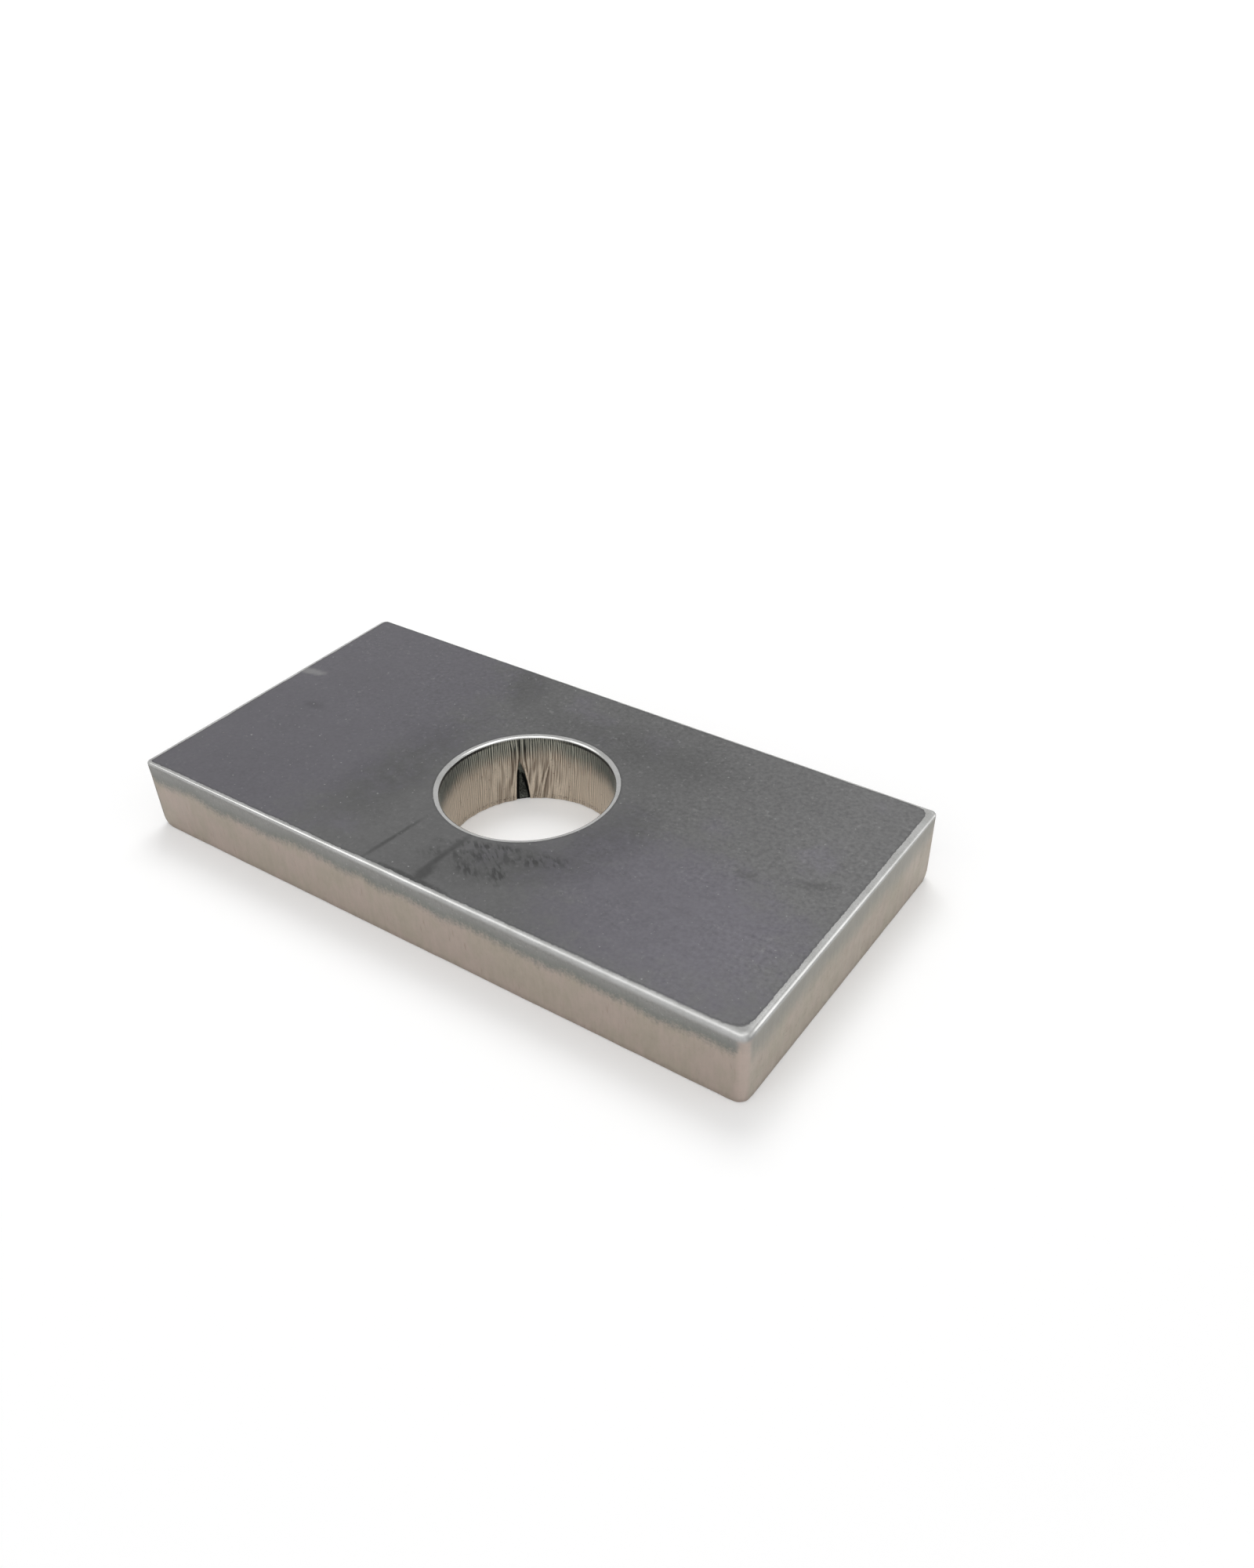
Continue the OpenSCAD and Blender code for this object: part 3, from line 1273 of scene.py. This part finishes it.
class PlateSteel:
    """The plate's one material, in which its finishes run into each other."""

    RIM_WIDTH = 0.78
    SCALE_CORNERS = CornerValues(0.8, 4.5, 3.4, 1.2)
    GROUND_CORNERS = CornerValues(0.3, 1.0, 0.6, 0.2)
    UNDER_WIDTH = 0.45
    SPECULAR = 0.3
    MIDDLE = (6.0, 7.0)
    WALL_END = (3.0, 3.2)
    CORNER_END = (0.5, 1.9)
    HOLE_DROP = 0.33

    def __init__(self, plate: Plate) -> None:
        """Keep the plate's sizes.

        Args:
            plate: The sizes and edge forms.
        """
        self.plate = plate
        self.material = bpy.data.materials.new("cut_plate_steel")
        self.graph = Graph(self.material)

    def spot(self) -> Spot:
        """Return what the finishes read at the shaded point.

        Returns:
            The point.
        """
        graph, plate = self.graph, self.plate
        place = graph.place()
        x, y, z = graph.parts(place)
        across, along = x / plate.length + 0.5, y / plate.width + 0.5
        valley, soot = (
            graph.node("ShaderNodeAttribute", {"attribute_name": name}, {}, "Fac")
            for name in ("valley", "soot")
        )
        upper, radius = z.ramp(*self.MIDDLE), graph.distance(x, y)
        return Spot(graph, place, x, y, z, upper, radius, across, along, valley, soot)

    def scale_room(self, spot: Spot) -> Value:
        """Return how far inside the edge of the mill scale a point lies.

        Args:
            spot: The shaded point.

        Returns:
            The distance in millimetres, which is below 0 outside the scale.
        """
        graph, plate, under = self.graph, self.plate, self.UNDER_WIDTH
        jag, sway = spot.ripple(0.7, 3.0, 0.6), spot.ripple(5.0, 1.0, 0.5)
        sides = [
            (spot.y + plate.width / 2, plate.near.band, spot.across),
            (plate.length / 2 - spot.x, plate.right.band, spot.along),
            (plate.width / 2 - spot.y, plate.back.band, 1.0 - spot.across),
            (spot.x + plate.length / 2, plate.left.band, 1.0 - spot.along),
        ]
        rooms, bend = [], self.SCALE_CORNERS.shade(spot.across, spot.along)
        for inset, (first, last), share in sides:
            width = under + spot.upper * (first - under + share * (last - first))
            rooms.append(inset - width)
        nearest = rooms[0]
        for room in rooms[1:]:
            nearest = graph.math("SMOOTH_MIN", nearest, room, bend)
        rim = spot.radius - plate.hole_radius - self.RIM_WIDTH
        nicks = spot.grain(1.1, 1.0, 0.5).ramp(0.70, 0.78)
        rim = rim + jag * 0.14 + sway * 0.1 - nicks * 0.25 - spot.soot.ramp(0.05, 0.2) * 9.0
        return (nearest + jag * 0.42 + sway * 0.35).least(rim)

    def build(self) -> bpy.types.Material:
        """Join the finishes, each over those that it lies on.

        Returns:
            The material.
        """
        plate, spot = self.plate, self.spot()
        cut = CutSide(plate.thickness, plate.length / 2).coat(spot, self.corner_share(spot))
        start, end = self.WALL_END
        in_hole = 1.0 - spot.radius.ramp(plate.hole_radius + start, plate.hole_radius + end)
        base = cut.under(HoleWall(plate.thickness).coat(spot), in_hole)
        drop = self.GROUND_CORNERS.shade(spot.across, spot.along)
        drop = drop * (1.0 - in_hole) + in_hole * self.HOLE_DROP
        depth = plate.thickness - spot.z + spot.ripple(2.0, 2.0, 0.5) * 0.3
        ground_share = 1.0 - depth.ramp(drop * 0.6, drop * 1.3 + 0.2 * (1.0 - in_hole))
        ground = GroundSteel(-plate.width / 2, plate.length / 2).coat(spot)
        base = base.under(ground, ground_share)
        room = self.scale_room(spot)
        near = 1.0 - spot.y.ramp(2.0 - plate.width / 2, 3.0 - plate.width / 2)
        fray = near * spot.across.ramp(0.35, 0.9) * 0.22
        scale_share = room.ramp(-0.04 - fray, 0.05 + fray * 0.5)
        self.finish(base.under(MillScale().coat(spot, room), scale_share))
        return self.material

    def corner_share(self, spot: Spot) -> Value:
        """Return 1 at the upright corners and 0 away from them."""
        inset_x, inset_y = self.plate.length / 2 - spot.x.size(), self.plate.width / 2 - spot.y.size()
        return 1.0 - inset_x.most(inset_y).ramp(*self.CORNER_END)

    def finish(self, coat: Coat) -> None:
        """Send a coat to the surface.

        Args:
            coat: The coat that shows.
        """
        graph = self.graph
        bump = {"Height": coat.height, "Strength": 1.0, "Distance": MM}
        inputs = {
            "Base Color": coat.colour,
            "Roughness": coat.roughness,
            "Metallic": coat.metallic,
            "Normal": graph.node("ShaderNodeBump", {}, bump),
            "Specular IOR Level": self.SPECULAR,
        }
        shader = graph.node("ShaderNodeBsdfPrincipled", {}, inputs)
        graph.make("ShaderNodeOutputMaterial", {}, {"Surface": shader})


class SpacerPlate:
    """The spacer itself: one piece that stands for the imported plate."""

    def __init__(self) -> None:
        """Read the plate's sizes from the frame."""
        low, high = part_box(NODE)
        size = (high - low) / MM
        hole = next(mount for mount in frame["record"]["mounts"] if mount["kind"] == "bore")
        self.plate = Plate(size.x, size.y, size.z, hole["dims"]["r_mm"])

    def build(self) -> bpy.types.Object:
        """Make the plate, dress it and put it on its body.

        Returns:
            The finished object.
        """
        made = PlateMesh(self.plate).build("dressed_plate")
        made.data.materials.append(PlateSteel(self.plate).build())
        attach(made, BODY)
        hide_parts(NODE)
        return made


@dataclass(frozen=True)
class PhotoCamera:
    """The camera, from the photograph's 1600 by 2000 frame."""

    frame_px: tuple[int, int] = (1600, 2000)
    focal_px: float = 1627.5
    centre_px: tuple[float, float] = (825.2, 1149.3)
    place: tuple[float, float, float] = (109.77, -125.78, 128.67)
    azimuth: float = 34.747
    pitch: float = 40.242
    roll: float = -1.125
    sensor: float = 36.0
    clip: tuple[float, float] = (0.005, 20.0)

    def build(self) -> None:
        """Make the camera and set it as the scene's own."""
        data = bpy.data.cameras.new("camera")
        longest = max(self.frame_px)
        data.sensor_width = self.sensor
        data.lens = self.focal_px / longest * self.sensor
        data.shift_x = (self.frame_px[0] / 2 - self.centre_px[0]) / longest
        data.shift_y = (self.centre_px[1] - self.frame_px[1] / 2) / longest
        data.clip_start, data.clip_end = self.clip
        aim = Matrix.Rotation(math.radians(self.azimuth), 4, "Z")
        aim = aim @ Matrix.Rotation(math.radians(90.0 - self.pitch), 4, "X")
        aim = aim @ Matrix.Rotation(math.radians(self.roll), 4, "Z")
        made = add_object("camera", data)
        made.matrix_world = Matrix.Translation(Vector(self.place) * MM) @ aim
        bpy.context.scene.camera = made


@dataclass(frozen=True)
class Softbox:
    """A square lamp that looks at the plate."""

    name: str
    azimuth: float
    elevation: float
    distance: float
    side: float
    power: float
    lights: bool = True
    mirrored: bool = True

    def build(self) -> None:
        """Make the lamp, which lights dull surfaces and is mirrored unless either is turned off."""
        data = bpy.data.lights.new(self.name, "AREA")
        data.shape, data.size, data.energy = "SQUARE", self.side, self.power
        made = add_object(self.name, data)
        level = math.cos(math.radians(self.elevation)) * self.distance
        turn = math.radians(self.azimuth)
        height = math.sin(math.radians(self.elevation)) * self.distance
        made.location = (level * math.cos(turn), level * math.sin(turn), height)
        made.rotation_euler = made.location.to_track_quat("Z", "Y").to_euler()
        made.visible_diffuse, made.visible_glossy = self.lights, self.mirrored


class Ray(Enum):
    """The kinds of ray that see the pale background."""

    CAMERA = "Is Camera Ray"
    GLOSSY = "Is Glossy Ray"
    TRANSMISSION = "Is Transmission Ray"


@dataclass(frozen=True)
class Studio:
    """A pale floor, soft lamps and a white surround."""

    floor_reach: float = 4.0
    floor_colour: Rgb = (0.8, 0.8, 0.8)
    floor_glow: float = 0.24
    far_glow: float = 1.0
    glow_start: float = 120.0
    glow_end: float = 420.0
    surround: float = 0.36
    lamps: tuple[Softbox, ...] = (
        Softbox("top_softbox", 130.0, 80.0, 0.9, 0.84, 1.6, mirrored=False),
        Softbox("back_softbox", 120.0, 59.5, 0.9, 0.42, 2.85, mirrored=False),
        Softbox("front_softbox", -88.0, 37.0, 0.9, 0.8, 1.85, mirrored=False),
        Softbox("right_softbox", -4.0, 37.0, 0.9, 0.8, 1.1, mirrored=False),
        Softbox("rim_lamp", 35.0, 73.0, 0.8, 0.5, 1.9, lights=False),
        Softbox("far_rim_lamp", -95.0, 68.0, 0.8, 0.35, 0.95, lights=False),
        Softbox("near_edge_lamp", -149.0, 48.0, 0.8, 0.36, 0.9, lights=False),
        Softbox("right_edge_lamp", 32.0, 14.0, 0.8, 0.46, 1.15, lights=False),
    )

    @staticmethod
    def seen(graph: Graph) -> Value:
        """Return 1 for the rays that see the background, and 0 for those that light."""
        outputs = graph.make("ShaderNodeLightPath", {}, {}).outputs
        return functools.reduce(Value.most, (Value(graph, outputs[ray.value]) for ray in Ray))

    def build_floor(self) -> None:
        """Make the floor, which lies at the plate's underside."""
        bm = bmesh.new()
        bmesh.ops.create_grid(bm, x_segments=1, y_segments=1, size=self.floor_reach)
        mesh = bpy.data.meshes.new("floor")
        bm.to_mesh(mesh)
        bm.free()
        material = bpy.data.materials.new("pale_floor")
        graph = Graph(material)
        diffuse = graph.node("ShaderNodeBsdfDiffuse", {}, {"Color": self.floor_colour})
        x, y, _ = graph.parts(graph.place())
        far = graph.distance(x, y).ramp(self.glow_start, self.glow_end)
        strength = self.seen(graph) * blend(self.floor_glow, self.far_glow, far)
        glow = graph.node("ShaderNodeEmission", {}, {"Strength": strength})
        both = graph.node("ShaderNodeAddShader", {}, {0: diffuse, 1: glow})
        graph.make("ShaderNodeOutputMaterial", {}, {"Surface": both})
        mesh.materials.append(material)
        add_object("floor", mesh)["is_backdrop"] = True

    def build_surround(self) -> None:
        """Make the white surround."""
        world = bpy.data.worlds.new("surround")
        bpy.context.scene.world = world
        graph = Graph(world)
        strength = blend(self.surround, 1.0, self.seen(graph))
        inputs = {"Color": (1.0, 1.0, 1.0), "Strength": strength}
        glow = graph.node("ShaderNodeBackground", {}, inputs)
        graph.make("ShaderNodeOutputWorld", {}, {"Surface": glow})

    def build(self) -> None:
        """Make the whole studio."""
        self.build_floor()
        self.build_surround()
        for lamp in self.lamps:
            lamp.build()
        bpy.context.scene.view_settings.view_transform = "Standard"


def main() -> None:
    """Build the camera, the studio and the plate, and report each."""
    logging.basicConfig(level=logging.INFO, format="%(name)s: %(message)s")
    PhotoCamera().build()
    Studio().build()
    log.info("the camera and the studio stand")
    made = SpacerPlate().build()
    log.info("%s rides on %s", made.name, BODY)
    boxes = {"cad": cad_bounds, "visual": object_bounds()}
    sizes = {name: [list(corner) for corner in box] for name, box in boxes.items()}


if __name__ == "__main__":
    main()
